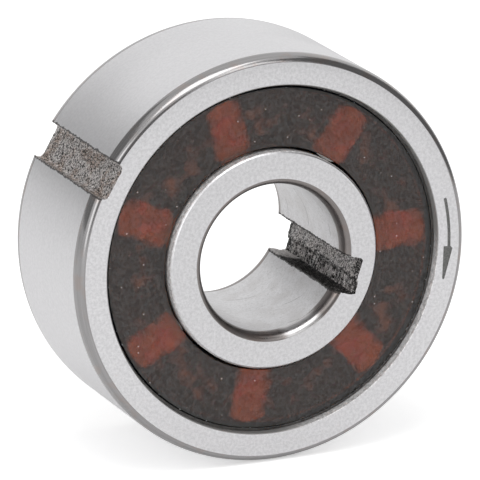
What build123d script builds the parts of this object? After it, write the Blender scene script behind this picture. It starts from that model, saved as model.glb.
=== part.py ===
from build123d import *
from math import asin, cos, radians, sin, sqrt
import os

# A one-way clutch bearing with a keyway in each ring. Millimetres.
# The axis is Y, the front face looks along -Y, and the origin is the centre of the bore.
# Angles run anticlockwise from +X, as seen from the front.

# Envelope
bore_diameter = 8.0
outside_diameter = 22.0
width = 9.0
rim_rise = 0.40
rim_run = 0.70
bore_rim_rise = 0.41
bore_rim_run = 0.72
land_bevel = 0.085

# Ring walls up to the race lands, with a groove for the balls at mid width
inner_wall = 1.85
outer_wall = 2.05
groove_depth = 0.20
ball_clearance = 0.015
groove_conformity = 1.04

# Shield seats
seat_shoulder = 0.45
seat_groove_depth = 0.10
seat_lip_width = 0.55
shield_recess = 0.40
shield_thickness = 0.40
shield_rim_step = 0.16
shield_rim_gap = 0.18
shield_bore_gap = 0.15
shield_bevel = 0.06
shield_fit = 0.01

# Keyways
key_width = 2.0
outer_key_depth = 0.70
outer_key_angle = 150.0
outer_key_corner = 0.30
inner_key_depth = 1.0
inner_key_angle = -17.0
inner_key_corner = 0.15

# Arrow on the front face of the outer ring
arrow_depth = 0.02
arrow_line = 0.17
arrow_tail_angle = 12.6
arrow_neck_angle = -2.2
arrow_tip_angle = -12.2
arrow_head_width = 0.52
arrow_barb_slant = 0.7
arrow_tip_width = 0.14

# Sprags and balls take turns around the pitch circle
sprag_count = 7
first_sprag_angle = 56.4
ball_lead_angle = 26.5
cam_radius = 2.0
cam_offset = 0.10
cam_clearance = 0.01
sprag_head = (-0.96, 1.14)
sprag_waist = (-0.99, 0.99)
sprag_foot = (-1.37, 1.03)
sprag_tilt = 5.0
sprag_end_gap = 0.10

# Cage
cage_side_gap = 0.12
cage_end_gap = 0.15
cage_front_gap = 0.20
cage_ring_thickness = 0.60
cage_web = 0.30
pocket_clearance = 0.05
sight_hole_diameter = 1.0

# Garter springs
spring_coil_diameter = 0.50
spring_land_gap = 0.20
spring_slack = 0.05
spring_notch_room = 0.15

# Worked out from the sizes above
bore_r = bore_diameter / 2
outside_r = outside_diameter / 2
half_width = width / 2
inner_land_r = bore_r + inner_wall
outer_land_r = outside_r - outer_wall
seat_r = outer_land_r + seat_shoulder
ball_r = (outer_land_r - inner_land_r) / 2 + groove_depth
pitch_r = (inner_land_r + outer_land_r) / 2
face_ring_r = (seat_r + outside_r - rim_rise) / 2
groove_r = ball_r * groove_conformity
groove_centre_shift = groove_r - ball_r - ball_clearance
shield_front = half_width - shield_recess
land_end = shield_front - shield_thickness
cage_inner_r = inner_land_r + cage_side_gap
cage_outer_r = outer_land_r - cage_side_gap
cage_front = land_end - cage_front_gap
cage_back = land_end - cage_end_gap
slot_back = cage_back - cage_ring_thickness
sprag_front = land_end - sprag_end_gap
sprag_back = slot_back - sprag_end_gap
spring_y = ball_r + pocket_clearance + cage_web / 2 + spring_coil_diameter / 2 + spring_slack
spring_ring_r = outer_land_r - spring_land_gap - spring_coil_diameter / 2
spring_floor_r = spring_ring_r - spring_coil_diameter / 2
notch_width = spring_coil_diameter + 2 * spring_slack
spacing = 360 / sprag_count
sprag_angles = [first_sprag_angle + spacing * k for k in range(sprag_count)]
ball_angles = [angle + ball_lead_angle for angle in sprag_angles]


def save(piece, label):
    """Label a finished piece and write it as one STEP file."""
    piece.part.label = label
    export_step(piece.part, f"parts/{label}.step")


def at(angle, radius, y=0.0):
    """The point at this angle and radius about the axis."""
    return (radius * cos(radians(angle)), y, radius * sin(radians(angle)))


def ball_seat(angle):
    """The place of a ball at this angle, turned so that a sphere's poles point along the radius."""
    outwards = (cos(radians(angle)), 0, sin(radians(angle)))
    return Plane(origin=at(angle, pitch_r), x_dir=(0, 1, 0), z_dir=outwards).location


def radial_plane(angle, front):
    """A plane across the axis, x clockwise along the rim and y outwards at this angle."""
    clockwise = (sin(radians(angle)), 0, -cos(radians(angle)))
    return Plane(origin=(0, -front, 0), x_dir=clockwise, z_dir=(0, -1, 0))


def keyway_outline(angle, floor_r, mouth_r, corner):
    """A keyway's section on the front face, from its floor to past its mouth."""
    floor_row = -1 if floor_r > mouth_r else 0
    with BuildSketch(radial_plane(angle, half_width)) as outline:
        with Locations((0, (floor_r + mouth_r) / 2)):
            Rectangle(key_width, abs(mouth_r - floor_r))
        fillet(outline.vertices().group_by(Axis.Y)[floor_row], corner)
    return outline.sketch


def make_outer_ring():
    groove_top_r = seat_r + seat_groove_depth
    lip_start = half_width - seat_lip_width
    key_floor, key_mouth = outside_r - outer_key_depth, outside_r + outer_key_depth
    with BuildPart() as ring:
        with BuildSketch(Plane.XY):
            with BuildLine():
                Polyline(
                    (outside_r, half_width - rim_run),
                    (outside_r, 0),
                    (outer_land_r, 0),
                    (outer_land_r, land_end),
                    (groove_top_r, land_end),
                    (groove_top_r, lip_start),
                    (seat_r, lip_start),
                    (seat_r, half_width),
                    (outside_r - rim_rise, half_width),
                )
                rim_centre = (outside_r - rim_rise, half_width - rim_run)
                EllipticalCenterArc(rim_centre, rim_rise, rim_run, arc_size=90)
            make_face()
            mirror(about=Plane.XZ)
        revolve(axis=Axis.Y)
        with BuildSketch(Plane.XY):
            with Locations((pitch_r - groove_centre_shift, 0)):
                Circle(groove_r)
        revolve(axis=Axis.Y, mode=Mode.SUBTRACT)
        key = keyway_outline(outer_key_angle, key_floor, key_mouth, outer_key_corner)
        extrude(key, amount=-width, mode=Mode.SUBTRACT)
        extrude(arrow_outline(), amount=-arrow_depth, mode=Mode.SUBTRACT)
    save(ring, "outer_ring")


def arrow_outline():
    """The arrow for the free direction on the front face, a bent line with a long head."""
    line_r = face_ring_r + arrow_line / 4
    tail_x, _, tail_z = at(arrow_tail_angle, line_r)
    neck_x, _, neck_z = at(arrow_neck_angle, line_r)
    inner_x, _, inner_z = at(arrow_neck_angle, face_ring_r - arrow_head_width / 2)
    barb_angle = arrow_neck_angle - arrow_barb_slant
    outer_x, _, outer_z = at(barb_angle, face_ring_r + arrow_head_width / 2)
    tip_x, _, tip_z = at(arrow_tip_angle, face_ring_r - arrow_line / 4)
    with BuildSketch(Plane.XZ.offset(half_width)) as arrow:
        with BuildLine() as shaft:
            RadiusArc((tail_x, tail_z), (neck_x, neck_z), line_r)
        trace(shaft.line, line_width=arrow_line)
        with Locations((tail_x, tail_z)):
            Circle(arrow_line / 2)
        with BuildLine():
            Polyline(
                (inner_x, inner_z),
                (outer_x, outer_z),
                (tip_x + arrow_tip_width / 2, tip_z),
                (tip_x - arrow_tip_width / 2, tip_z),
                close=True,
            )
        make_face()
        with Locations((tip_x, tip_z)):
            Circle(arrow_tip_width / 2)
    return arrow.sketch


def make_inner_ring():
    with BuildPart() as ring:
        with BuildSketch(Plane.XY) as section:
            with BuildLine():
                Polyline(
                    (bore_r, half_width - bore_rim_run),
                    (bore_r, 0),
                    (inner_land_r, 0),
                    (inner_land_r, half_width),
                    (bore_r + bore_rim_rise, half_width),
                )
                rim_centre = (bore_r + bore_rim_rise, half_width - bore_rim_run)
                EllipticalCenterArc(rim_centre, bore_rim_rise, bore_rim_run, 90, arc_size=90)
            make_face()
            land_corner = section.vertices().sort_by(Axis.Y)[-2:].sort_by(Axis.X)[-1]
            chamfer(land_corner, land_bevel)
            mirror(about=Plane.XZ)
        revolve(axis=Axis.Y)
        with BuildSketch(Plane.XY):
            with Locations((pitch_r + groove_centre_shift, 0)):
                Circle(groove_r)
        revolve(axis=Axis.Y, mode=Mode.SUBTRACT)
        key = keyway_outline(inner_key_angle, bore_r + inner_key_depth, bore_r / 2, inner_key_corner)
        extrude(key, amount=-width, mode=Mode.SUBTRACT)
    save(ring, "inner_ring")


def make_shield(side, label):
    """A thin disc snapped into the seat groove; side is -1 in front and 1 behind."""
    inner_r = inner_land_r + shield_bore_gap
    disc_r = seat_r - shield_rim_gap
    rim_r = seat_r + seat_groove_depth - shield_fit
    step = shield_front - shield_rim_step
    with BuildPart() as shield:
        with BuildSketch(Plane.XY):
            with BuildLine():
                Polyline(
                    (inner_r, side * land_end),
                    (inner_r, side * (shield_front - shield_bevel)),
                    (inner_r + shield_bevel, side * shield_front),
                    (disc_r - shield_bevel, side * shield_front),
                    (disc_r, side * (shield_front - shield_bevel)),
                    (disc_r, side * step),
                    (rim_r, side * step),
                    (rim_r, side * land_end),
                    close=True,
                )
            make_face()
        revolve(axis=Axis.Y)
    save(shield, label)


def make_ball(angle, label):
    with BuildPart() as ball:
        with Locations(ball_seat(angle)):
            Sphere(ball_r)
    save(ball, label)


def cam_height(side, x):
    """How far out the cam surface lies at x: side is 1 at the outer race, -1 at the inner."""
    contact_r = outer_land_r - cam_clearance if side > 0 else inner_land_r + cam_clearance
    centre_x = side * cam_offset
    centre_y = sqrt((contact_r - side * cam_radius) ** 2 - centre_x**2)
    return centre_y + side * sqrt(cam_radius**2 - (x - centre_x) ** 2)


def cam_face(side, span):
    """The three points of one cam arc, from its left end to its right end."""
    left, right = span
    middle = (left + right) / 2
    return [(x, cam_height(side, x)) for x in (left, middle, right)]


def make_sprag(angle, label):
    """A cam-shaped bar that wedges between the lands when its head is carried back."""
    head = cam_face(1, sprag_head)
    foot = cam_face(-1, sprag_foot)
    with BuildPart() as sprag:
        with BuildSketch(radial_plane(angle, sprag_front)):
            with BuildLine():
                ThreePointArc(*head)
                Polyline(head[-1], (sprag_waist[1], pitch_r), foot[-1])
                ThreePointArc(*foot)
                Polyline(foot[0], (sprag_waist[0], pitch_r), head[0])
            make_face()
        extrude(amount=-(sprag_front + sprag_back))
        relief_r = ball_r + pocket_clearance + cage_web + spring_notch_room
        for ball_angle in (angle + ball_lead_angle, angle + ball_lead_angle - spacing):
            with Locations(ball_seat(ball_angle)):
                Sphere(relief_r, mode=Mode.SUBTRACT)
        grooves = spring_grooves(spring_floor_r - spring_notch_room)
        revolve(grooves, axis=Axis.Y, mode=Mode.SUBTRACT)
    save(sprag, label)


def spring_grooves(floor_r):
    """The sections of both spring grooves, from this radius out past the race."""
    height = outside_r - floor_r
    with BuildSketch(Plane.XY) as grooves:
        with Locations((floor_r + height / 2, spring_y), (floor_r + height / 2, -spring_y)):
            Rectangle(height, notch_width)
    return grooves.sketch


def swung(x, height, tilt):
    """A point of the sprag's section after it tips clockwise about the pitch circle."""
    lever = height - pitch_r
    turn = radians(tilt)
    return (x * cos(turn) + lever * sin(turn), pitch_r + lever * cos(turn) - x * sin(turn))


def slot_outline():
    """The sprag's section at rest and fully tipped, with clearance, run out past the cage."""
    head_l, head_r = sprag_head
    foot_l, foot_r = sprag_foot
    head_end_r = swung(head_r, cam_height(1, head_r), sprag_tilt)
    foot_end_l = swung(foot_l, cam_height(-1, foot_l), sprag_tilt)
    waist_end = swung(sprag_waist[1], pitch_r, sprag_tilt)
    room = pocket_clearance
    top, bottom = outer_land_r, inner_land_r * cos(asin(-foot_end_l[0] / inner_land_r)) - room
    return [
        (head_l - room, top),
        (head_end_r[0] + room, top),
        (head_end_r[0] + room, head_end_r[1] - room),
        (waist_end[0] + 2 * room, pitch_r),
        (foot_r + room, pitch_r - room),
        (foot_r + room, bottom),
        (foot_end_l[0] - room, bottom),
        (foot_end_l[0] - room, foot_end_l[1] + room),
        (sprag_waist[0] - 2 * room, pitch_r + room),
        (head_l - room, cam_height(1, head_l) - room),
    ]


def make_slot(angle):
    """The room for one sprag, open in front, which leaves a web around the balls beside it."""
    with BuildPart() as slot:
        with BuildSketch(radial_plane(angle, cage_front)):
            with BuildLine():
                Polyline(*slot_outline(), close=True)
            make_face()
        extrude(amount=-(cage_front + slot_back))
        for ball_angle in (angle + ball_lead_angle, angle + ball_lead_angle - spacing):
            with Locations(ball_seat(ball_angle)):
                Sphere(ball_r + pocket_clearance + cage_web, mode=Mode.SUBTRACT)
    return slot.part


def make_cage():
    """One moulding: a ring behind, and between the sprags a finger with a pocket for a ball."""
    slots = [make_slot(angle) for angle in sprag_angles]
    with BuildPart() as cage:
        with BuildSketch(Plane.XY):
            with BuildLine():
                Polyline(
                    (cage_inner_r, -cage_front),
                    (cage_outer_r, -cage_front),
                    (cage_outer_r, cage_back),
                    (cage_inner_r, cage_back),
                    close=True,
                )
            make_face()
        revolve(axis=Axis.Y)
        for slot in slots:
            add(slot, mode=Mode.SUBTRACT)
        for angle in ball_angles:
            with Locations(ball_seat(angle)):
                Sphere(ball_r + pocket_clearance, mode=Mode.SUBTRACT)
            with BuildSketch(Plane.XZ.offset(cage_front)):
                x, _, z = at(angle, pitch_r)
                with Locations((x, z)):
                    Circle(sight_hole_diameter / 2)
            extrude(amount=-cage_front, mode=Mode.SUBTRACT)
        revolve(spring_grooves(spring_floor_r), axis=Axis.Y, mode=Mode.SUBTRACT)
    save(cage, "cage")


def make_spring(y, label):
    """A closed garter spring, given as the ring that its coils fill."""
    with BuildPart() as spring:
        with BuildSketch(Plane.XY):
            with Locations((spring_ring_r, y)):
                Circle(spring_coil_diameter / 2)
        revolve(axis=Axis.Y)
    save(spring, label)


os.makedirs("parts", exist_ok=True)
make_outer_ring()
make_inner_ring()
make_shield(-1, "front_shield")
make_shield(1, "rear_shield")
make_cage()
make_spring(-spring_y, "front_spring")
make_spring(spring_y, "rear_spring")
for number, angle in enumerate(ball_angles, 1):
    make_ball(angle, f"ball_{number}")
for number, angle in enumerate(sprag_angles, 1):
    make_sprag(angle, f"sprag_{number}")
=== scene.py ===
"""Finishes a one-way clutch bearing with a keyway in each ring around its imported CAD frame."""

from math import asin, atan2, cos, degrees, hypot, pi, radians, sin, sqrt, tan

import bmesh
import bpy
from bpy.props import FloatProperty, FloatVectorProperty, IntProperty, PointerProperty
from mathutils import Matrix, Vector, noise


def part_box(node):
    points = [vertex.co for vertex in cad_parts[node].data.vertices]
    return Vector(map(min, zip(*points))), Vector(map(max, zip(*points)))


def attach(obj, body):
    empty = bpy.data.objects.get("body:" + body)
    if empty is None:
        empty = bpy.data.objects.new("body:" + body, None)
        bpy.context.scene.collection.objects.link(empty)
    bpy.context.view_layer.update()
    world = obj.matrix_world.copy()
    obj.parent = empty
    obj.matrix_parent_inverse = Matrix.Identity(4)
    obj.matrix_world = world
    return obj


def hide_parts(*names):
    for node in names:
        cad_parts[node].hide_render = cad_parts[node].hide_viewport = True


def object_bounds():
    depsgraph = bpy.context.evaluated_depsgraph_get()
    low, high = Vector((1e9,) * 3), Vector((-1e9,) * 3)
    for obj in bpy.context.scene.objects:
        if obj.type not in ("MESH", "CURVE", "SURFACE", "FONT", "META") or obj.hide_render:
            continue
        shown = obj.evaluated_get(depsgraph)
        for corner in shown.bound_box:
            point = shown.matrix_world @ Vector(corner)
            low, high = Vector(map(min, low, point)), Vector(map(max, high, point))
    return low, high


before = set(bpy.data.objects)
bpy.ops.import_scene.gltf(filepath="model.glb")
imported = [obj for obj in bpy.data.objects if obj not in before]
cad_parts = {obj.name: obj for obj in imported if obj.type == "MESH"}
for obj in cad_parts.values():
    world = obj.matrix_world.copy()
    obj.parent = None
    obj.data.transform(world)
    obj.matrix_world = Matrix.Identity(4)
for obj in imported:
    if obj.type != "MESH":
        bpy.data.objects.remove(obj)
cad_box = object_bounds()

bl_info = {
    "name": "Sprag clutch maker",
    "version": (1, 0, 0),
    "blender": (4, 5, 0),
    "location": "View3D > Sidebar > Clutch",
    "description": "Makes the rings, shields, springs, balls and finishes of a sprag clutch",
    "category": "Object",
}

# The meshes are made in millimetres and scaled once, at the end of each piece.
MM = 0.001
# Edges that turn by more than this are shaded sharp.
SHARP = radians(24)
# A point this near to a ground wall counts as on it.
SKIN = 0.0035
# Half outlines end this far from mid width, where their two halves merge.
HAIR = 0.0001
# Extra rows of points, at these widths, split the rings' long walls and the inner land.
WALL_ROW, LAND_ROW = 1.9, 3.4
# Corners nearer than this are merged.
MERGE = 5e-4
# Angles around the axis: the middle of the first sprag's end, the painted sheen on the bore's
# rim, and the stretch of the seat wall that is left light, outside its painted shade.
SPRAG_END_AT, SHEEN_AT, WALL_LIT_AT = radians(56.4), radians(-66.5), radians(-42)
outer_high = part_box("outer_ring")[1]
inner_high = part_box("inner_ring")[1]
spring_low, spring_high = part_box("front_spring")
# What is in front of this width is a sprag's front end.
SPRAG_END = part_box("sprag_1")[0].y / MM + 0.05
sprag_names = sorted(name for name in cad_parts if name.startswith("sprag"))
ball_names = sorted(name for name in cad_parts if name.startswith("ball"))


def number(name, default, description, **more):
    return FloatProperty(name=name, description=description, default=default, **more)


def whole(name, default, least, description):
    return IntProperty(name=name, description=description, default=default, min=least)


def length(name, default, description):
    """A size that the user may change, its default given in millimetres."""
    return number(name, default * MM, description, unit="LENGTH", precision=5)


def angle(name, default, description):
    return number(name, radians(default), description, subtype="ANGLE")


def colour(name, default, description):
    look = {"subtype": "COLOR", "size": 3, "min": 0, "max": 1}
    return FloatVectorProperty(name=name, description=description, default=default, **look)


class ClutchSizes(bpy.types.PropertyGroup):
    """Sizes of the rings, shields and springs."""

    outside: length("Outside radius", outer_high.x / MM, "Radius of the ground outside")
    half_width: length("Half width", outer_high.y / MM, "From mid width to either face")
    rim_rise: length("Rim rise", 0.40, "How far the outer rim's rounding reaches across the face")
    rim_run: length("Rim run", 0.70, "How far the outer rim's rounding reaches along the outside")
    outer_land: length("Outer land radius", 8.95, "Race that the sprags wedge against")
    seat: length("Seat radius", 9.40, "Lip in front of the shield")
    seat_groove: length("Seat groove radius", 9.50, "Groove that the shield snaps into")
    lip: length("Lip width", 0.55, "Width of the lip in front of the seat groove")
    bore: length("Bore radius", 4.0, "Radius of the bore")
    bore_rise: length("Bore rim rise", 0.41, "How far the bore rim's rounding reaches across the face")
    bore_run: length("Bore rim run", 0.72, "How far the bore rim's rounding reaches along the bore")
    inner_land: length("Inner land radius", inner_high.x / MM, "Race under the sprags")
    land_bevel: length("Land bevel", 0.085, "Bevel between the inner land and the face")
    groove: length("Ball groove radius", 1.82, "Radius of the ball groove in both races")
    outer_groove_at: length("Outer groove centre", 7.345, "Radius of the outer groove's centre circle")
    inner_groove_at: length("Inner groove centre", 7.455, "Radius of the inner groove's centre circle")
    key_width: length("Keyway width", 2.0, "Width of both keyways")
    outer_key_floor: length("Outer keyway floor", 10.30, "Height of its floor over the axis")
    outer_key_corner: length("Outer keyway corner", 0.30, "Radius in its floor corners")
    outer_key_at: angle("Outer keyway angle", 150, "Where it stands around the ring")
    inner_key_floor: length("Inner keyway floor", 5.0, "Height of its floor over the axis")
    inner_key_corner: length("Inner keyway corner", 0.15, "Radius in its floor corners")
    inner_key_at: angle("Inner keyway angle", -17, "Where it stands around the ring")
    grain: length("Torn grain", 0.036, "Height of the torn grain in the keyways")
    shield_bore: length("Shield bore radius", 6.0, "Inside of the shields")
    shield_disc: length("Shield disc radius", 9.22, "Edge of the shields' raised disc")
    shield_rim: length("Shield rim radius", 9.49, "Edge of the shields' snap rim")
    shield_front: length("Shield front", 4.10, "Its outer side, from mid width")
    shield_step: length("Shield step", 3.94, "The snap rim's outer side, from mid width")
    shield_back: length("Shield back", 3.70, "Its inner side, from mid width")
    wire: length("Spring wire radius", 0.05, "Radius of the garter springs' wire")
    turns: whole("Spring turns", 330, 8, "Coils around each garter spring")
    steps: whole("Turning steps", 384, 48, "Facets around each ring")


class ClutchFinishes(bpy.types.PropertyGroup):
    """Colours of the finishes."""

    steel: colour("Ground steel", (0.668, 0.662, 0.674), "Ground faces and cylinders")
    turned: colour("Turned steel", (0.32, 0.313, 0.315), "Rounded rims left from turning")
    torn: colour("Torn steel", (0.60, 0.565, 0.55), "Floors and walls of the keyways")
    soot: colour("Dark steel", (0.010, 0.0095, 0.009), "Darkest parts of the keyways")
    ball: colour("Ball steel", (0.72, 0.72, 0.73), "Lapped balls")
    sprag: colour("Sprag steel", (0.48, 0.47, 0.46), "Drawn sprags")
    amber: colour("Amber plastic", (0.73, 0.317, 0.08), "Moulded shields")
    cage: colour("Cage plastic", (0.008, 0.009, 0.011), "Moulded cage")
    spring: colour("Spring wire", (0.55, 0.54, 0.53), "Drawn wire")


class StageSettings(bpy.types.PropertyGroup):
    """Camera and light."""

    azimuth: angle("Azimuth", -23.5, "Where the camera stands around the part")
    elevation: angle("Elevation", 16.46, "How high the camera stands")
    distance: number("Distance", 0.316, "From the camera to its aim", unit="LENGTH")
    lens: number("Lens", 450.0, "Focal length", unit="CAMERA")
    ambient: number("Ambient", 0.62, "Strength of the room's light", min=0)
    floor_glow: number("Floor glow", 0.20, "Light from the floor sheet itself", min=0)
    floor_white: number("Floor white", 0.46, "The same, as the camera sees it", min=0)
    key: number("Key light", 1.55, "Radiance of the strip light", min=0)
    top: number("Top light", 2.6, "Radiance of the overhead light", min=0)


def sizes():
    """The sizes by name: lengths in millimetres, angles and counts as they are."""
    held = bpy.context.scene.clutch_sizes
    found = {name: getattr(held, name) for name in ClutchSizes.__annotations__}
    as_given = ("turns", "steps", "outer_key_at", "inner_key_at")
    return {name: value if name in as_given else value / MM for name, value in found.items()}


def finishes():
    return bpy.context.scene.clutch_finishes


# Node helpers


def join(value, socket):
    """Link what other nodes work out to a socket, or set the socket to a constant."""
    if isinstance(value, Field):
        value = value.socket
    if isinstance(value, bpy.types.NodeSocket):
        socket.id_data.links.new(value, socket)
    elif socket.type == "RGBA":
        socket.default_value = (*value[:3], 1.0)
    else:
        socket.default_value = value


def node(tree, kind, inputs=None, **settings):
    """Add a node, set its settings, and set or link its inputs."""
    made = tree.nodes.new(kind)
    for name, value in settings.items():
        setattr(made, name, value)
    for key, value in (inputs or {}).items():
        join(value, made.inputs[key])
    return made


def drive(shader, **values):
    """Set or link a node's inputs by name, with _ for each space."""
    for key, value in values.items():
        join(value, shader.inputs[key.replace("_", " ")])


class Field:
    """A number that the nodes work out at every point, ready for plain arithmetic."""

    def __init__(self, socket):
        self.socket = socket
        self.tree = socket.id_data

    def __add__(self, other):
        return maths("ADD", self, other)

    def __sub__(self, other):
        return maths("SUBTRACT", self, other)

    def __rsub__(self, other):
        return maths("SUBTRACT", other, self)

    def __mul__(self, other):
        return maths("MULTIPLY", self, other)

    def __truediv__(self, other):
        return maths("DIVIDE", self, other)

    def __gt__(self, other):
        return maths("GREATER_THAN", self, other)

    def __lt__(self, other):
        return maths("LESS_THAN", self, other)

    def __abs__(self):
        return maths("ABSOLUTE", self)

    def ramp(self, low, high, to_low=0.0, to_high=1.0):
        """Carry the value smoothly from one range to another, and hold it at the ends."""
        ends = {"Value": self, "From Min": low, "From Max": high, "To Min": to_low, "To Max": to_high}
        made = node(self.tree, "ShaderNodeMapRange", ends, interpolation_type="SMOOTHSTEP")
        return Field(made.outputs[0])


def maths(operation, *values, clamp=False):
    tree = next(value.tree for value in values if isinstance(value, Field))
    made = node(tree, "ShaderNodeMath", dict(enumerate(values)), operation=operation, use_clamp=clamp)
    return Field(made.outputs[0])


def most(first, *others):
    """The largest of several values."""
    for other in others:
        first = maths("MAXIMUM", first, other)
    return first


def mix(share, a, b):
    """Mix two numbers."""
    return Field(node(share.tree, "ShaderNodeMix", {0: share, 2: a, 3: b}).outputs[0])


def mix_colour(share, a, b):
    return node(share.tree, "ShaderNodeMix", {0: share, 6: a, 7: b}, data_type="RGBA").outputs[2]


def bump(height, depth, strength=1.0, under=None):
    """A bump from a height in 0 to 1, its full depth given in millimetres."""
    inputs = {"Height": height, "Distance": depth * MM, "Strength": strength}
    if under is not None:
        inputs["Normal"] = under
    return node(height.tree, "ShaderNodeBump", inputs).outputs[0]


class Place:
    """Object coordinates and what follows from them on a turned piece, in millimetres."""

    def __init__(self, tree):
        self.tree = tree
        metres = node(tree, "ShaderNodeTexCoord").outputs["Object"]
        scaled = {0: metres, 1: (1 / MM, 1 / MM, 1 / MM)}
        self.point = node(tree, "ShaderNodeVectorMath", scaled, operation="MULTIPLY").outputs[0]
        split = node(tree, "ShaderNodeSeparateXYZ", {0: self.point})
        self.x, self.y, self.z = (Field(each) for each in split.outputs)
        self.depth = abs(self.y)
        self.radius = maths("SQRT", self.x * self.x + self.z * self.z)

    def noise(self, scale, detail=2.0, rough=0.5, distortion=0.0, at=None):
        """Noise of so many waves to the millimetre, mostly between 0.3 and 0.7."""
        inputs = {"Scale": scale, "Detail": detail, "Roughness": rough, "Distortion": distortion}
        inputs["Vector"] = at or self.point
        return Field(node(self.tree, "ShaderNodeTexNoise", inputs).outputs[0])

    def around(self, along, across):
        """Noise drawn out around the axis, as grinding and turning leave it, with no seam."""
        at = self.vector(self.x / self.radius * along, self.y * across, self.z / self.radius * along)
        inputs = {"Vector": at, "W": self.radius * across, "Scale": 1.0, "Detail": 3.0, "Roughness": 0.6}
        return Field(node(self.tree, "ShaderNodeTexNoise", inputs, noise_dimensions="4D").outputs[0])

    def cells(self, scale):
        """Scattered cells: the distance to a cell's middle, and a chance of the cell's own."""
        inputs = {"Vector": self.point, "Scale": scale, "Randomness": 1.0}
        made = node(self.tree, "ShaderNodeTexVoronoi", inputs)
        own = node(self.tree, "ShaderNodeSeparateColor", {0: made.outputs["Color"]})
        return Field(made.outputs["Distance"]), Field(own.outputs[0])

    def vector(self, x, y, z):
        return node(self.tree, "ShaderNodeCombineXYZ", {0: x, 1: y, 2: z}).outputs[0]

    def towards(self, turn):
        """How well a point lines up with an angle around the axis, 1 right on it."""
        return (self.x * cos(turn) + self.z * sin(turn)) / self.radius

    def in_key(self, turn):
        """Places across and up in a keyway that stands at an angle."""
        across = self.x * sin(turn) - self.z * cos(turn)
        return across, self.x * cos(turn) + self.z * sin(turn)

    def tinted(self, colour, by):
        """A colour multiplied by a level or by a second colour."""
        inputs = {0: 1.0, 6: colour, 7: by}
        return node(self.tree, "ShaderNodeMix", inputs, data_type="RGBA", blend_type="MULTIPLY").outputs[2]


def plain_material(name, **constants):
    """A new node material and its shader."""
    made = bpy.data.materials.new(name)
    made.use_nodes = True
    shader = made.node_tree.nodes["Principled BSDF"]
    drive(shader, **constants)
    return made, shader


def material(name, **constants):
    """A new node material, with its shader and the place that its pattern reads."""
    made, shader = plain_material(name, **constants)
    return made, shader, Place(made.node_tree)


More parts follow.
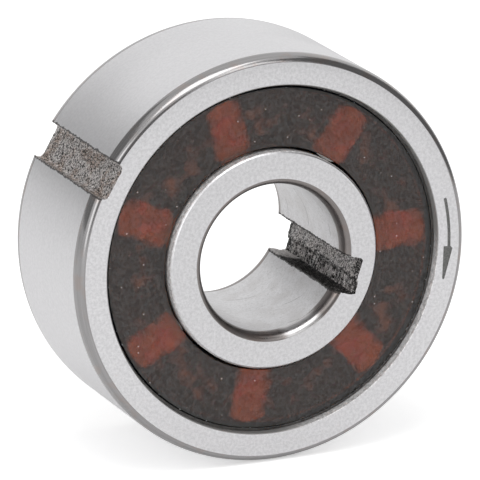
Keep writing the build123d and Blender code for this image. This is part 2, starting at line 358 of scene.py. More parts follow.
def ring_steel(name, size, outer):
    """Ground steel with darker turned rims and a brushed wall beside the shield."""
    tint = finishes()
    made, shader, place = material(name, Anisotropic=0.35)
    streak = place.around(3.0, 14.0)
    fine = place.around(9.0, 60.0)
    speck = place.noise(16.0)
    # 1 on the ground cylinder and faces, 0 on the rounded rim between them
    if outer:
        wall = place.radius > size["outside"] - SKIN
        inside = place.radius < (size["outer_land"] + size["seat"]) / 2 + 0.45
    else:
        wall = place.radius < size["bore"] + SKIN
        inside = place.radius > size["inner_land"] - 0.2
    run = size["rim_run" if outer else "bore_run"]
    on_wall = wall * (place.depth < size["half_width"] - run - 0.01)
    on_face = place.depth.ramp(size["half_width"] - 0.0022, size["half_width"] - 0.0002)
    ground = most(on_wall, on_face, inside)
    cloud = place.noise(7.0, 4.0, 0.65).ramp(0.3, 0.7, -0.016, 0.016)
    sand = place.noise(6.0, 4.0, 0.75).ramp(0.38, 0.62, -0.085, 0.085)
    lines = streak.ramp(0.3, 0.7)
    shade = cloud + sand * (1.0 - on_wall * 0.55) + lines * 0.045 + 0.965
    steel = tint.steel if outer else [0.95 * level for level in tint.steel]
    rim = place.tinted(tint.turned, lines * 0.22 + 0.86)
    rim = mix_colour(place.noise(1.3).ramp(0.48, 0.72, 0.0, 0.45), rim, (0.33, 0.27, 0.245))
    if not outer:
        # The bore's rim is duller and browner than the rest, with a painted sheen at its lower right in
        # front
        rim = place.tinted(rim, (0.72, 0.675, 0.65))
        painted_sheen = place.towards(SHEEN_AT).ramp(0.952, 0.987) * streak.ramp(0.30, 0.52)
        rim = mix_colour(painted_sheen * (place.y < 0.0), rim, (0.60, 0.59, 0.59))
    base = mix_colour(ground, rim, place.tinted(steel, shade))
    rough = mix(ground, 0.17 if outer else 0.30, 0.36) + (streak - 0.5) * 0.22 + (speck - 0.5) * 0.10
    # The wall beside the shield is left as brushed, with a few smears
    if outer:
        by_shield = place.radius < size["seat"] + 0.042
    else:
        by_shield = place.radius > size["inner_land"] - 0.02
    brushed = by_shield * (place.depth > size["shield_back"])
    smear = place.noise(5.0, 5.0, 0.7, 0.6).ramp(0.38, 0.64)
    grey = mix_colour(smear, (0.52, 0.51, 0.51), (0.92, 0.91, 0.91))
    if outer:
        # Painted shade darkens all but its lower right, the stretch that faces the light
        grey = mix_colour(place.towards(WALL_LIT_AT).ramp(0.66, 0.88), (0.30, 0.295, 0.29), grey)
    base = mix_colour(brushed, base, grey)
    rough = mix(brushed, rough, 0.62)
    if outer:
        # The shoulder behind the shield is painted near black
        hidden = (place.radius > size["outer_land"] + 0.02) * (place.radius < size["seat_groove"] + 0.02)
        hidden = hidden * (place.depth < size["shield_back"] + 0.01)
        base = mix_colour(hidden, base, (0.02, 0.019, 0.018))
    else:
        # Two long hairlines run slanting through the bore, which is rubbed and smudged
        slant = place.x * 0.55 + place.noise(0.22, 1.0, 0.4) * 1.6 + place.y + 2.3
        hair = maths("PINGPONG", slant, 1.35).ramp(0.008, 0.026, 1.0, 0.0)
        hair = hair * place.noise(0.5, 1.0).ramp(0.50, 0.54) * on_wall
        base = mix_colour(hair * 0.9, base, (0.08, 0.08, 0.08))
        rub = place.noise(8.0, 4.0, 0.75, 1.0).ramp(0.50, 0.60, 0.0, 0.5) * on_wall
        base = mix_colour(rub, base, (0.42, 0.415, 0.41))
        smudge = place.noise(0.9, 3.0).ramp(0.42, 0.66, 0.0, 0.34) * on_wall
        base = mix_colour(smudge, base, (0.45, 0.43, 0.42))
    # A dark, broken band of painted shadow runs along both edges of the keyway
    across, up = place.in_key(size["outer_key_at" if outer else "inner_key_at"])
    reach = place.noise(4.0, 3.0, 0.7) * 0.30 + (size["key_width"] / 2 - 0.07)
    edge_shadow = (abs(across) < reach) * (up > 0.0) * most(on_wall, 1.0 - ground)
    base = mix_colour(edge_shadow * 0.85, base, (0.05, 0.047, 0.045))
    rough = mix(edge_shadow, rough, 0.6)
    ridges = bump(streak, 0.004, mix(ground, 0.9, 0.3))
    normal = bump(fine * 0.6 + speck * 0.4, 0.0022, 0.55, ridges)
    drive(shader, Base_Color=base, Roughness=rough, Metallic=1.0 - brushed * 0.55, Normal=normal)
    return made


def torn_steel(name, size, inner, dark_share):
    """Metal torn by the broach: close dark and light grain with a brown cast in places."""
    tint = finishes()
    sooty = dark_share > 0.5
    made, shader, place = material(name, Metallic=0.25 if sooty else 0.8, Specular_IOR_Level=0.2)
    across, _ = place.in_key(size["inner_key_at" if inner else "outer_key_at"])
    grain = place.noise(9.5, 3.0, 0.75, 0.6)
    pits, _ = place.cells(8.0)
    hollow = pits.ramp(0.15, 0.62)
    share = grain.ramp(0.45, 0.54) * 1.08 + (1.0 - hollow) * 0.35
    if inner:
        # Below its shelf the floor is gashed across
        drawn_out = place.vector(across * 2.4, place.y * 5.5, place.radius * 4.5)
        gashes = place.noise(1.0, 4.0, 0.7, 0.6, drawn_out)
        edge = (place.noise(2.2, 4.0, 0.7) - 0.5) * 0.9 + across
        below = edge.ramp(0.10, 0.20)
        gashed = (share * 0.6 + 0.5) * gashes.ramp(0.46, 0.52, 0.0, 1.4)
        share = mix(below, share, gashed - across.ramp(0.35, 0.85, 0.0, 0.45))
        share = share - abs(edge - 0.18).ramp(0.03, 0.11, 1.1, 0.0)
        # Its mouth is ragged and black at both faces
        ragged = (place.noise(2.6, 4.0, 0.7) - 0.5) * 3.2 + place.depth
        mouth = ragged.ramp(size["half_width"] - 0.50, size["half_width"] - 0.36, 0.0, 1.3)
        # Bright flakes stand out on the dark parts
        flake = place.noise(8.0, 2.0, 0.6, 0.8).ramp(0.57, 0.62, 0.0, 0.9)
        share = most(share - mouth, flake * most(below, mouth))
    share = maths("SUBTRACT", share, dark_share, clamp=True)
    if sooty:
        # The soot ends short of the back
        share = most(share, (place.noise(3.0, 3.0, 0.7) * 2.2 + place.y).ramp(3.5, 4.3))
    cast = (0.56, 0.54, 0.535) if inner else (0.46, 0.37, 0.32)
    brown = mix_colour(place.noise(1.1, 3.0).ramp(0.45, 0.65), tint.torn, cast)
    bright = mix_colour(place.noise(15.0, 1.0).ramp(0.56, 0.68), brown, (0.95, 0.94, 0.93))
    base = mix_colour(share, tint.soot, bright)
    normal = bump(grain * 0.7 - hollow * 0.3, 0.06)
    drive(shader, Base_Color=base, Roughness=grain.ramp(0.3, 0.7, 0.62, 0.40), Normal=normal)
    return made


def etched_steel():
    """The dull floor of the engraved arrow."""
    made, shader, place = material("etched_arrow", Metallic=0.8, Roughness=0.55)
    grain = place.noise(12.0, 3.0, 0.6)
    base = mix_colour(grain.ramp(0.35, 0.65), (0.13, 0.13, 0.125), (0.20, 0.20, 0.195))
    drive(shader, Base_Color=base, Normal=bump(grain, 0.008, 0.6))
    return made


def ball_steel():
    """Lapped chrome steel with hair-fine scratches."""
    made, shader, place = material("lapped_steel", Metallic=1.0)
    hair = place.noise(26.0, 4.0, 0.7, 1.5)
    base = mix_colour(place.noise(2.0, 3.0).ramp(0.35, 0.65), finishes().ball, (0.66, 0.66, 0.665))
    rough = hair.ramp(0.3, 0.7, 0.05, 0.16)
    drive(shader, Base_Color=base, Roughness=rough, Normal=bump(hair, 0.0008, 0.4))
    return made


def sprag_steel():
    """Drawn and tumbled steel; its ends show under the shield."""
    made, shader, place = material("drawn_steel", Metallic=1.0)
    drawn_out = node(place.tree, "ShaderNodeMapping", {"Vector": place.point, "Scale": (1.0, 0.06, 1.0)})
    drawn = place.noise(14.0, 3.0, at=drawn_out.outputs[0])
    blotch = place.noise(1.6, 3.0, 0.55)
    base = mix_colour(blotch.ramp(0.35, 0.65), finishes().sprag, (0.37, 0.36, 0.35))
    # Each front end is tumbled round, and painted shade darkens it towards its two sides
    half = pi / len(sprag_names)
    turn = maths("WRAP", maths("ARCTAN2", place.z, place.x) - SPRAG_END_AT, half, -half)
    edge = (abs(turn) * place.radius + blotch * 0.8).ramp(1.02, 1.68)
    base = mix_colour(edge * (place.y < SPRAG_END), base, (0.012, 0.011, 0.011))
    drive(shader, Base_Color=base, Roughness=drawn * 0.2 + 0.26, Normal=bump(drawn, 0.004, 0.6))
    return made


def spring_wire():
    """Drawn wire, a little brown in places."""
    made, shader, place = material("drawn_wire", Metallic=1.0)
    drawn = place.noise(30.0)
    base = mix_colour(place.noise(3.0).ramp(0.4, 0.6), finishes().spring, (0.40, 0.385, 0.37))
    rough = drawn.ramp(0.3, 0.7, 0.22, 0.36)
    drive(shader, Base_Color=base, Roughness=rough, Normal=bump(drawn, 0.002, 0.4))
    return made


def cage_plastic():
    """Black glass-filled nylon with a faint flow pattern."""
    made, shader, place = material("black_nylon", IOR=1.45, Specular_IOR_Level=0.1)
    flow = place.noise(3.0, 4.0, 0.6, 1.2)
    base = mix_colour(flow.ramp(0.35, 0.7), finishes().cage, (0.012, 0.012, 0.013))
    rough = flow.ramp(0.3, 0.7, 0.42, 0.58)
    drive(shader, Base_Color=base, Roughness=rough, Normal=bump(place.noise(22.0), 0.004, 0.6))
    return made


def amber_plastic(size):
    """Translucent moulded plastic: clouded, dusty in front and matt on its hidden side."""
    made, shader, place = material("amber_nylon", IOR=1.28, Coat_IOR=1.62, Coat_Roughness=0.36)
    bore, disc, back = size["shield_bore"], size["shield_disc"], size["shield_back"]
    cloud = place.noise(1.4, 4.0, 0.55, 0.4)
    tint = mix_colour(cloud.ramp(0.35, 0.70), finishes().amber, (0.665, 0.26, 0.07))
    # Painted shade: a narrow black line runs around the disc's edge, and another around its bore, for the
    # dark gaps beside them
    rim = place.radius.ramp(disc - 0.08, disc - 0.04)
    rim = rim * place.radius.ramp(disc + 0.015, disc + 0.045, 1.0, 0.0)
    black = most(rim, place.radius.ramp(bore + 0.005, bore + 0.045, 1.0, 0.0))
    tint = mix_colour(black, tint, (0.010, 0.008, 0.008))
    front = place.depth.ramp(back + 0.02, back + 0.06)
    # Dust: pale specks here and there and a fine mottle; and soft blotches around the balls' circle,
    # painted glints of the balls behind
    distance, chance = place.cells(3.2)
    speck = (chance > 0.92) * front * distance.ramp(0.09, 0.17, 1.0, 0.0)
    grit = place.noise(13.0, 3.0, 0.7).ramp(0.48, 0.74, 0.0, 0.022)
    pitch = (size["outer_groove_at"] + size["inner_groove_at"]) / 2
    belt = abs(place.radius - pitch).ramp(0.5, 1.2, 1.0, 0.0)
    blotch = place.noise(1.15, 3.0).ramp(0.48, 0.80, 0.0, 0.12) * belt
    # Dust lies on the thin rim as well, and the black lines carry small painted glints
    dust = (place.radius > disc + 0.03) * place.noise(8.0, 3.0, 0.7).ramp(0.35, 0.65, 0.05, 0.45)
    painted_glint = black * place.noise(6.0, 2.0, 0.6).ramp(0.66, 0.70, 0.0, 0.7)
    dust_and_glint = most(dust, painted_glint) * front
    haze = most(speck * 0.45, (grit + blotch) * front, dust_and_glint)
    tint = mix_colour(dust_and_glint.ramp(0.0, 0.1), tint, (0.30, 0.28, 0.27))
    tint = mix_colour(painted_glint.ramp(0.2, 0.5), tint, (0.85, 0.82, 0.80))
    tint = mix_colour(blotch.ramp(0.0, 0.02), tint, (0.72, 0.21, 0.08))
    tint = mix_colour(speck, tint, (0.75, 0.70, 0.68))
    normal = bump(place.noise(24.0, 3.0), 0.0025, 0.6, bump(place.noise(4.0), 0.012, 0.4))
    # The black lines are dull
    glaze = front * (1.0 - black) * place.noise(7.0, 4.0, 0.75).ramp(0.42, 0.58, 0.45, 1.0)
    drive(
        shader,
        Base_Color=tint,
        Roughness=mix(front, 0.95, cloud.ramp(0.3, 0.7, 0.34, 0.44)),
        Transmission_Weight=1.0 - haze,
        Coat_Weight=glaze,
        Normal=normal,
        Coat_Normal=normal,
    )
    return made


# Mesh helpers


def add_object(name, data):
    """A new object in the scene."""
    made = bpy.data.objects.new(name, data)
    bpy.context.scene.collection.objects.link(made)
    return made


def new_object(name, points, faces, materials, face_material=None):
    """A mesh object in millimetres, its faces turned outwards."""
    mesh = bpy.data.meshes.new(name)
    mesh.from_pydata(points, [], faces)
    for each in materials:
        mesh.materials.append(each)
    if face_material:
        mesh.polygons.foreach_set("material_index", face_material)
    edit = bmesh.new()
    edit.from_mesh(mesh)
    bmesh.ops.recalc_face_normals(edit, faces=edit.faces)
    edit.to_mesh(mesh)
    edit.free()
    return add_object(name, mesh)


def skin(loops, count, closed=False):
    """The faces between loops of points; closed, the last loop joins the first."""
    faces = []
    for k in range(loops if closed else loops - 1):
        ahead = (k + 1) % loops
        for m in range(count):
            after = (m + 1) % count
            faces.append((k * count + m, k * count + after, ahead * count + after, ahead * count + m))
    return faces


def turned(name, outline, steps, materials):
    """Turn a closed outline of radius and width about the Y axis."""
    points = []
    for step in range(steps):
        turn = 2 * pi * step / steps
        points += [(radius * cos(turn), width, radius * sin(turn)) for radius, width in outline]
    return new_object(name, points, skin(steps, len(outline), closed=True), materials)


def arc(centre, reach, start, end, count):
    """Points on an ellipse's arc, its angles in degrees."""
    turns = [radians(start + (end - start) * k / count) for k in range(count + 1)]
    return [(centre[0] + reach[0] * cos(t), centre[1] + reach[1] * sin(t)) for t in turns]


def mirrored(half):
    """An outline's front half and its mirror image behind, as one closed loop."""
    return half + [(radius, -width) for radius, width in reversed(half)]


def from_key(turn, across, height, width):
    """A point given in a keyway's own frame: across is clockwise, and height is from the axis."""
    return height * cos(turn) + across * sin(turn), width, height * sin(turn) - across * cos(turn)


def even(path, spacing):
    """A path with points at even spacing between its corners."""
    out = [path[0]]
    for a, b in zip(path, path[1:]):
        parts = max(1, round(hypot(b[0] - a[0], b[1] - a[1]) / spacing))
        for k in range(1, parts + 1):
            out.append((a[0] + (b[0] - a[0]) * k / parts, a[1] + (b[1] - a[1]) * k / parts))
    return out


def bumpy(x, y, z):
    """Smooth noise, from -1 to 1."""
    return noise.noise(Vector((x, y, z)))


def torn(spot):
    """Grain of a torn surface, from -1 to 1: coarse bumps with finer ones on them."""
    at = Vector(spot)
    return 0.6 * noise.noise(at * 7.0) + 0.4 * noise.noise(at * 19.0 + Vector((7, 3, 5)))


def key_cutter(size, inner, materials):
    """The tool that leaves a keyway with torn walls: a channel that reaches out of its mouth."""
    ring = "inner" if inner else "outer"
    floor, corner, turn = (size[f"{ring}_key_{part}"] for part in ("floor", "corner", "at"))
    half, wall = size["key_width"] / 2, size["bore" if inner else "outside"]
    up, mouth = (1, wall - 0.9) if inner else (-1, wall + 0.5)
    edge = sqrt(wall**2 - half**2)
    left = arc((-half + corner, floor - up * corner), (corner, corner * up), 180, 90, 6)
    right = [(-across, height) for across, height in reversed(left)]
    path = even([(-half, mouth), *left, *right, (half, mouth)], 0.05)
    end, rows = size["half_width"] + 0.25, 150
    widths = [-end + 2 * end * k / rows for k in range(rows + 1)]
    grain = size["grain"] * (1.5 if inner else 1.0)
    points = []
    for width in widths:
        for across, height in path:
            lift = grain * torn((across, height, width))
            # From 1 on the side walls to 0 on the floor
            sideways = max(0.0, 1 - abs(abs(across) - half) / 0.12)
            # The walls' outer edges are shredded
            near_edge = max(0.0, 1 - abs(height - edge) / 0.14) * sideways
            shreds = 1.6 * bumpy(across * 3, 0.5, width * 6) + 0.8 * bumpy(across, 4.0, width * 17)
            ragged = near_edge * grain * shreds
            step = 0.0
            if inner and sideways < 0.5:
                # A wandering shelf, with the metal torn away below it
                wander = bumpy(0.0, 2.0, width * 1.8) + 0.5 * bumpy(0.0, 6.0, width * 7)
                low = min(1.0, max(0.0, (across - 0.22 - 0.16 * wander) / 0.08))
                step = low * (0.10 + 0.07 * bumpy(across * 2.0, 9.0, width * 7))
            side = 1 if across > 0 else -1
            x = across + side * (sideways * lift + ragged)
            h = height + up * ((1 - sideways) * lift + step)
            points.append(from_key(turn, x, h, width))
    count = len(path)
    caps = [tuple(range(count)), tuple(rows * count + m for m in range(count))]
    # The second material goes on the wall that is dark with soot
    sooty = [int(inner and across > half - 0.09) for across, height in path]
    faces = skin(rows + 1, count) + caps
    return new_object("key_cutter", points, faces, materials, sooty * rows + [0, 0])


def arrow_outline(size):
    """The arrow for the free direction, with a round tail and a long head, on the front face."""
    line = (size["seat"] + size["outside"] - size["rim_rise"]) / 2
    # Half widths of the shaft and the head, and the tip's radius
    half, barbs, blunt = 0.085, 0.26, 0.07
    middle = line + half / 2
    # Where its parts stand around the axis
    tail, neck, barb, tip = (radians(a) for a in (12.6, -2.2, -2.9, -12.2))

    def at(turn, radius):
        return radius * cos(turn), radius * sin(turn)

    def rounded(centre, radius, start, count):
        turns = (radians(start - 20 * k) for k in range(count))
        return [(centre[0] + radius * cos(t), centre[1] + radius * sin(t)) for t in turns]

    around = [tail + (neck - tail) * k / 24 for k in range(25)]
    outline = [at(turn, middle + half) for turn in around]
    outline += [at(barb, line + barbs), *rounded(at(tip, line - half / 2), blunt, 10, 10)]
    outline += [at(neck, line - barbs)]
    outline += [at(turn, middle - half) for turn in reversed(around)]
    return outline + rounded(at(tail, middle), half, 172, 8)


def arrow_cutter(size, depth, materials):
    """The engraving tool: the arrow's outline, cut to an even depth."""
    front, back = -size["half_width"] - 0.2, -size["half_width"] + depth
    outline = arrow_outline(size)
    count = len(outline)
    points = [(x, width, z) for width in (front, back) for x, z in outline]
    faces = [tuple(range(count)), tuple(range(count, 2 * count))]
    faces += [(k, (k + 1) % count, count + (k + 1) % count, count + k) for k in range(count)]
    return new_object("arrow_cutter", points, faces, materials)


def cut(blank, *cutters):
    """Cut tools out of a blank, one after another."""
    for tool in cutters:
        modifier = blank.modifiers.new("cut", "BOOLEAN")
        modifier.operation = "DIFFERENCE"
        modifier.solver = "EXACT"
        modifier.object = tool
        modifier.material_mode = "TRANSFER"
        baked = plain_mesh(blank)
        blank.modifiers.clear()
        blank.data = baked
        bpy.data.objects.remove(tool)


def plain_mesh(made):
    """What an object's modifiers leave, as a mesh of its own."""
    graph = bpy.context.evaluated_depsgraph_get()
    return bpy.data.meshes.new_from_object(made.evaluated_get(graph), depsgraph=graph)


def drop_flaps(edit):
    """Cut big faces into triangles, and delete slivers that lie back to back on the same corners."""
    bmesh.ops.triangulate(edit, faces=[face for face in edit.faces if len(face.verts) > 4])
    held = {}
    for face in edit.faces:
        held.setdefault(frozenset(face.verts), []).append(face)
    flaps = [face for faces in held.values() if len(faces) > 1 for face in faces]
    bmesh.ops.delete(edit, geom=flaps, context="FACES")


def finish_piece(made, body, replaces):
    """Merge doubles, shade by angle, scale to metres, and hand the piece to its CAD body."""
    edit = bmesh.new()
    edit.from_mesh(made.data)
    bmesh.ops.remove_doubles(edit, verts=edit.verts, dist=MERGE)
    bmesh.ops.dissolve_degenerate(edit, edges=edit.edges, dist=MERGE)
    drop_flaps(edit)
    for face in edit.faces:
        face.smooth = True
    for edge in edit.edges:
        edge.smooth = len(edge.link_faces) != 2 or edge.calc_face_angle(0) < SHARP
    edit.to_mesh(made.data)
    edit.free()
    made.data.transform(Matrix.Scale(MM, 4))
    made.data.update()
    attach(made, body)
    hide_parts(*replaces)


def groove_dip(size, height):
    """How far round the ball groove's circle its land starts, in degrees."""
    groove = size["groove"]
    return degrees(asin(sqrt(groove**2 - height**2) / groove))


def outer_outline(size):
    """Front half of the outer ring's section, from its groove round to its outside."""
    face, land, seat = size["half_width"], size["outer_land"], size["seat"]
    groove, at, snap = size["groove"], size["outer_groove_at"], size["seat_groove"]
    back, lip, rim = size["shield_back"], face - size["lip"], size["outside"] - size["rim_rise"]
    half = [(at + groove, -HAIR)]
    half += arc((at, 0), (groove, -groove), 0, groove_dip(size, land - at), 8)[1:]
    # A shoulder behind the shield, the groove that its rim snaps into, and the seat
    half += [(land, -back + 0.05), (land + 0.05, -back), (snap, -back), (snap, -lip)]
    half += [(seat, -lip - 0.02), (seat, -face + 0.015), (seat + 0.015, -face), (seat + 0.62, -face)]
    half += arc((rim, -face + size["rim_run"]), (size["rim_rise"], -size["rim_run"]), 90, 0, 16)
    return half + [(size["outside"], -WALL_ROW), (size["outside"], -HAIR)]


def inner_outline(size):
    """Front half of the inner ring's section, from its bore round to its groove."""
    face, land, bevel = size["half_width"], size["inner_land"], size["land_bevel"]
    groove, at, bore = size["groove"], size["inner_groove_at"], size["bore"]
    rise, run = size["bore_rise"], size["bore_run"]
    half = [(bore, -HAIR), (bore, -WALL_ROW)]
    half += arc((bore + rise, -face + run), (rise, -run), 180, 90, 16)
    half += [((bore + land) / 2, -face), (land - bevel, -face)]
    half += [(land - bevel * 0.25, -face + bevel * 0.65), (land, -face + bevel * 1.1)]
    half += [(land, -LAND_ROW)]
    half += arc((at, 0), (-groove, -groove), groove_dip(size, at - land), 0, 8)[:-1]
    return half + [(at - groove, -HAIR)]


def shield_mesh(name, size, side, materials):
    """A moulded disc with soft edges and, in front, a little flash left at its gates."""
    front, step, back = -size["shield_front"], -size["shield_step"], -size["shield_back"]
    bore, disc, rim = size["shield_bore"], size["shield_disc"], size["shield_rim"]
    soft = 0.06
    outline = [(bore, back), (bore, front + soft)]
    outline += arc((bore + soft, front + soft), (soft, -soft), 180, 90, 4)[1:]
    outline += [(bore + (disc - bore) * k / 12, front) for k in range(1, 12)]
    outline += arc((disc - soft, front + soft), (soft, -soft), 90, 0, 4)
    outline += [(disc, step + 0.02), (disc + 0.02, step)]
    outline += [(rim - 0.03, step), (rim, step + 0.03), (rim, back)]
    outline += [(rim + (bore - rim) * k / 12, back) for k in range(1, 12)]
    made = turned(name, outline, size["steps"], materials)
    # Where the flash stands, how far it reaches either way, and along which edge
    flash = ((82, 8, bore), (103, 34, disc), (257, 5, disc))
    for vertex in made.data.vertices:
        x, y, z = vertex.co
        radius, turn = hypot(x, z), atan2(z, x) % (2 * pi)
        for middle, reach, at in flash:
            share = max(0.0, 1 - abs(turn - radians(middle)) / radians(reach)) ** 0.5
            near = max(0.0, 1 - abs(radius - at) / 0.075)
            if share and near and y < front + 0.08:
                grit = bumpy(turn * 30, at, 1.0) * 0.7 + bumpy(turn * 95, at, 2.0) * 0.5
                vertex.co.y -= 0.05 * near * share * max(0.0, grit)
        if side > 0:
            vertex.co = (x, -vertex.co.y, z)
    if side > 0:
        made.data.flip_normals()
    return made


def ball_mesh(name, centre, radius, finish, parts=18):
    """A ball from six curved patches, so that it has no poles."""
    edit = bmesh.new()
    spread = [tan((2 * k / parts - 1) * pi / 4) for k in range(parts + 1)]
    for axis in range(3):
        for side in (-1, 1):
            rows = []
            for along in spread:
                row = []
                for across in spread:
                    point = [0.0, 0.0, 0.0]
                    point[axis], point[(axis + 1) % 3], point[(axis + 2) % 3] = side, side * along, across
                    row.append(edit.verts.new(Vector(point).normalized() * radius + centre))
                rows.append(row)
            for near, far in zip(rows, rows[1:]):
                for k in range(parts):
                    edit.faces.new((near[k], far[k], far[k + 1], near[k + 1]))
    bmesh.ops.remove_doubles(edit, verts=edit.verts, dist=1e-4)
    bmesh.ops.recalc_face_normals(edit, faces=edit.faces)
    mesh = bpy.data.meshes.new(name)
    edit.to_mesh(mesh)
    edit.free()
    mesh.materials.append(finish)
    return add_object(name, mesh)


def spring_tree():
    """Geometry nodes that wind a wire into coils around a closed ring."""
    tree = bpy.data.node_groups.new("garter_spring", "GeometryNodeTree")
    tree.interface.new_socket("Geometry", in_out="OUTPUT", socket_type="NodeSocketGeometry")
    for name, kind in (
        ("Turns", "Int"),
        ("Points per turn", "Int"),
        ("Ring radius", "Float"),
        ("Coil radius", "Float"),
        ("Wire radius", "Float"),
        ("Width", "Float"),
        ("Finish", "Material"),
    ):
        tree.interface.new_socket(name, in_out="INPUT", socket_type="NodeSocket" + kind)
    given = {each.name: Field(each) for each in node(tree, "NodeGroupInput").outputs if each.name}
    count = given["Turns"] * given["Points per turn"]
    line = node(tree, "GeometryNodeMeshLine", {"Count": count})
    ring_turn = Field(node(tree, "GeometryNodeInputIndex").outputs[0]) / count * (2 * pi)
    coil_turn = ring_turn * given["Turns"]
    reach = maths("COSINE", coil_turn) * given["Coil radius"] + given["Ring radius"]
    width = maths("SINE", coil_turn) * given["Coil radius"] + given["Width"]
    x, z = reach * maths("COSINE", ring_turn), reach * maths("SINE", ring_turn)
    place = node(tree, "ShaderNodeCombineXYZ", {0: x, 1: width, 2: z}).outputs[0]
    wound = node(tree, "GeometryNodeSetPosition", {"Geometry": line.outputs[0], "Position": place})
    path = node(tree, "GeometryNodeMeshToCurve", {"Mesh": wound.outputs[0]})
    closed = node(tree, "GeometryNodeSetSplineCyclic", {"Geometry": path.outputs[0], "Cyclic": True})
    section = {"Resolution": 5, "Radius": given["Wire radius"]}
    section = node(tree, "GeometryNodeCurvePrimitiveCircle", section)
    wire = {"Curve": closed.outputs[0], "Profile Curve": section.outputs[0]}
    wire = node(tree, "GeometryNodeCurveToMesh", wire)
    real = node(tree, "GeometryNodeRealizeInstances", {"Geometry": wire.outputs[0]})
    done = {"Geometry": real.outputs[0], "Material": given["Finish"]}
    done = node(tree, "GeometryNodeSetMaterial", done)
    node(tree, "NodeGroupOutput", {"Geometry": done.outputs[0]})
    return tree


def spring_mesh(name, size, width, tree, finish):
    """One garter spring, wound by the node tree and kept as a plain mesh."""
    reach = (spring_high.y - spring_low.y) / MM / 2
    carrier = add_object(name + "_winder", bpy.data.meshes.new(name))
    modifier = carrier.modifiers.new("wind", "NODES")
    modifier.node_group = tree
    values = {
        "Turns": size["turns"],
        "Points per turn": 10,
        "Ring radius": spring_high.x / MM - reach,
        "Coil radius": reach - size["wire"],
        "Wire radius": size["wire"],
        "Width": width,
        "Finish": finish,
    }
    for item in tree.interface.items_tree:
        if item.in_out == "INPUT":
            modifier[item.identifier] = values[item.name]
    mesh = plain_mesh(carrier)
    bpy.data.objects.remove(carrier)
    return add_object(name, mesh)


class CLUTCH_OT_outer_ring(bpy.types.Operator):
    """Make the outer ring with its torn keyway and engraved arrow."""

    bl_idname = "clutch.outer_ring"
    bl_label = "Outer ring"

    def execute(self, context):
        size = sizes()
        steel = ring_steel("ground_outer_steel", size, outer=True)
        rough = torn_steel("torn_outer_keyway", size, False, 0.06)
        ring = turned("outer_ring_body", mirrored(outer_outline(size)), size["steps"], [steel])
        cut(ring, key_cutter(size, False, [rough]), arrow_cutter(size, 0.02, [etched_steel()]))
        finish_piece(ring, "outer", ["outer_ring"])
        return {"FINISHED"}


class CLUTCH_OT_inner_ring(bpy.types.Operator):
    """Make the inner ring with its torn keyway."""

    bl_idname = "clutch.inner_ring"
    bl_label = "Inner ring"

    def execute(self, context):
        size = sizes()
        steel = ring_steel("ground_inner_steel", size, outer=False)
        rough = torn_steel("torn_inner_keyway", size, True, -0.04)
        dark = torn_steel("sooty_inner_keyway", size, True, 0.95)
        ring = turned("inner_ring_body", mirrored(inner_outline(size)), size["steps"] * 2 // 3, [steel])
        cut(ring, key_cutter(size, True, [rough, dark]))
        finish_piece(ring, "inner", ["inner_ring"])
        return {"FINISHED"}


class CLUTCH_OT_shields(bpy.types.Operator):
    """Make the two amber shields."""

    bl_idname = "clutch.shields"
    bl_label = "Shields"

    def execute(self, context):
        size = sizes()
        amber = amber_plastic(size)
        for side, name in ((-1, "front"), (1, "rear")):
            disc = shield_mesh(f"{name}_shield_disc", size, side, [amber])
            finish_piece(disc, "outer", [f"{name}_shield"])
        return {"FINISHED"}


class CLUTCH_OT_springs(bpy.types.Operator):
    """Wind the two garter springs."""

    bl_idname = "clutch.springs"
    bl_label = "Garter springs"

    def execute(self, context):
        size = sizes()
        wire = spring_wire()
        tree = spring_tree()
        for name in ("front", "rear"):
            low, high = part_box(f"{name}_spring")
            width = (low.y + high.y) / 2 / MM
            made = spring_mesh(f"{name}_spring_coils", size, width, tree, wire)
            finish_piece(made, "cage", [f"{name}_spring"])
        return {"FINISHED"}


class CLUTCH_OT_balls(bpy.types.Operator):
    """Make the balls."""

    bl_idname = "clutch.balls"
    bl_label = "Balls"

    def execute(self, context):
        lapped = ball_steel()
        for name in ball_names:
            low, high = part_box(name)
            centre, radius = (low + high) / 2 / MM, (high.y - low.y) / 2 / MM
            made = ball_mesh(f"lapped_{name}", centre, radius, lapped)
            finish_piece(made, name, [name])
        return {"FINISHED"}


class CLUTCH_OT_sprags_and_cage(bpy.types.Operator):
    """Give the sprags and the cage, kept as they are in CAD, their finishes."""

    bl_idname = "clutch.sprags_and_cage"
    bl_label = "Sprags and cage"

    def execute(self, context):
        steel, nylon = sprag_steel(), cage_plastic()
        for name in (*sprag_names, "cage"):
            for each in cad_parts[name].material_slots:
                each.material = nylon if name == "cage" else steel
        return {"FINISHED"}


def facing(at):
    """The turn that points a lamp or the camera at the origin."""
    return (-Vector(at)).to_track_quat("-Z", "Y").to_euler()


def direction(azimuth, elevation):
    """A unit vector, its azimuth in degrees from the back towards the right."""
    a, e = radians(azimuth), radians(elevation)
    return Vector((sin(a) * cos(e), cos(a) * cos(e), sin(e)))


def lamp(name, azimuth, elevation, distance, width, height, radiance):
    """A soft rectangular lamp that faces the part; power follows from its radiance."""
    data = bpy.data.lights.new(name, "AREA")
    data.shape = "RECTANGLE"
    data.size, data.size_y = width, height
    data.energy = radiance * pi * width * height
    made = add_object(name, data)
    made.location = direction(azimuth, elevation) * distance
    made.rotation_euler = facing(made.location)
    made.visible_camera = False


def sheet(name, points, faces, paper):
    """A sheet of paper on the stage, its faces as they are given."""
    mesh = bpy.data.meshes.new(name)
    mesh.from_pydata(points, [], faces)
    mesh.materials.append(paper)
    return add_object(name, mesh)


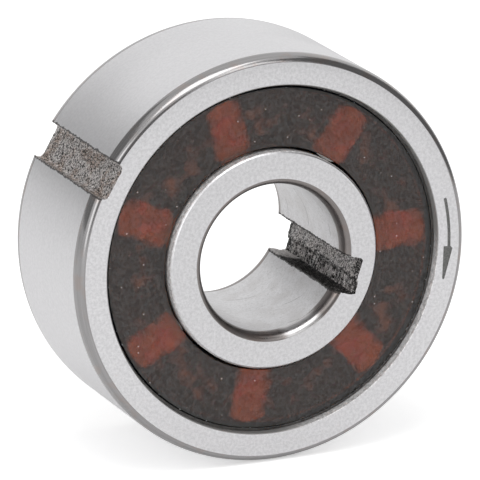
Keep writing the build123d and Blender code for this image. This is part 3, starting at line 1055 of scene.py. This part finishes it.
def card(name, azimuths, elevations, distance, shade):
    """A curved card beside the part that glows dimly of itself and shows only in what the metal mirrors,
    which it darkens.
    """
    rows, columns = 8, 24
    points = []
    for j in range(rows + 1):
        elevation = elevations[0] + (elevations[1] - elevations[0]) * j / rows
        for k in range(columns + 1):
            azimuth = azimuths[0] + (azimuths[1] - azimuths[0]) * k / columns
            points.append(direction(azimuth, elevation) * distance)
    firsts = [j * (columns + 1) + k for j in range(rows) for k in range(columns)]
    faces = [(n, n + 1, n + columns + 2, n + columns + 1) for n in firsts]
    black = {"Base_Color": (0, 0, 0), "Roughness": 1.0, "Specular_IOR_Level": 0.0}
    paper, _ = plain_material(name, **black, Emission_Color=(1, 1, 1), Emission_Strength=shade)
    made = sheet(name, points, faces, paper)
    made.visible_camera = False
    made.visible_shadow = False
    made.visible_diffuse = False


def white_room(ambient):
    """A white room: white where it is seen or mirrored, and a plain level as light."""
    world = bpy.data.worlds.new("white_room")
    bpy.context.scene.world = world
    world.use_nodes = True
    path = node(world.node_tree, "ShaderNodeLightPath").outputs
    kinds = ("Camera", "Glossy", "Transmission")
    camera, glossy, through = (Field(path[f"Is {kind} Ray"]) for kind in kinds)
    seen = maths("ADD", camera + glossy, through, clamp=True)
    drive(world.node_tree.nodes["Background"], Color=(1, 1, 1), Strength=mix(seen, ambient, 1.0))


class CLUTCH_OT_stage(bpy.types.Operator):
    """Set the floor, lamps, cards and camera around the part."""

    bl_idname = "clutch.stage"
    bl_label = "Stage"

    def execute(self, context):
        stage = context.scene.clutch_stage
        white_room(stage.ambient)
        pale = {"Base_Color": (0.86, 0.86, 0.86), "Roughness": 0.9, "Emission_Color": (1, 1, 1)}
        paper, shader = plain_material("pale_floor", **pale)
        seen = Field(node(paper.node_tree, "ShaderNodeLightPath").outputs["Is Camera Ray"])
        drive(shader, Emission_Strength=mix(seen, stage.floor_glow, stage.floor_white))
        sides, reach = 64, 6.0
        rim = [direction(360 * k / sides, 0) * reach for k in range(sides)]
        points = [(p.x, p.y, cad_box[0].z) for p in rim]
        floor = sheet("floor", points, [tuple(reversed(range(sides)))], paper)
        lamp("strip_light", -125, 12, 0.20, 0.075, 0.20, stage.key)
        lamp("overhead_light", -150, 74, 0.20, 0.13, 0.13, stage.top)
        lamp("front_light", 163, 34, 0.20, 0.055, 0.14, 1.45)
        card("right_card", (66, 154), (-4, 58), 0.10, 0.25)
        card("left_card", (-90, -23), (5, 50), 0.10, 0.36)
        card("front_card", (172, 212), (-8, 34), 0.12, 0.30)
        data = bpy.data.cameras.new("camera")
        data.lens, data.sensor_width = stage.lens, 36.0
        data.clip_start, data.clip_end = 0.01, 20.0
        camera = add_object("camera", data)
        aim = Vector((0, 0, -0.0001))
        a, e = stage.azimuth, stage.elevation
        place = Vector((sin(a) * cos(e), -cos(a) * cos(e), sin(e))) * stage.distance
        camera.location = aim + place
        camera.rotation_euler = facing(place)
        context.scene.camera = camera
        context.scene.view_settings.view_transform = "Standard"
        return {"FINISHED"}


steps = (
    CLUTCH_OT_outer_ring,
    CLUTCH_OT_inner_ring,
    CLUTCH_OT_shields,
    CLUTCH_OT_springs,
    CLUTCH_OT_balls,
    CLUTCH_OT_sprags_and_cage,
    CLUTCH_OT_stage,
)


class CLUTCH_PT_panel(bpy.types.Panel):
    """Lists the steps that make the clutch."""

    bl_idname = "CLUTCH_PT_panel"
    bl_label = "Sprag clutch"
    bl_space_type = "VIEW_3D"
    bl_region_type = "UI"
    bl_category = "Clutch"

    def draw(self, context):
        for step in steps:
            self.layout.operator(step.bl_idname)


groups = {"clutch_sizes": ClutchSizes, "clutch_finishes": ClutchFinishes, "clutch_stage": StageSettings}


def register():
    for each in (*groups.values(), *steps, CLUTCH_PT_panel):
        bpy.utils.register_class(each)
    for name, group in groups.items():
        setattr(bpy.types.Scene, name, PointerProperty(type=group))


def unregister():
    for name in groups:
        delattr(bpy.types.Scene, name)
    for each in reversed((*groups.values(), *steps, CLUTCH_PT_panel)):
        bpy.utils.unregister_class(each)


def main():
    register()
    for step in steps:
        family, name = step.bl_idname.split(".")
        getattr(getattr(bpy.ops, family), name)()


if __name__ == "__main__":
    main()
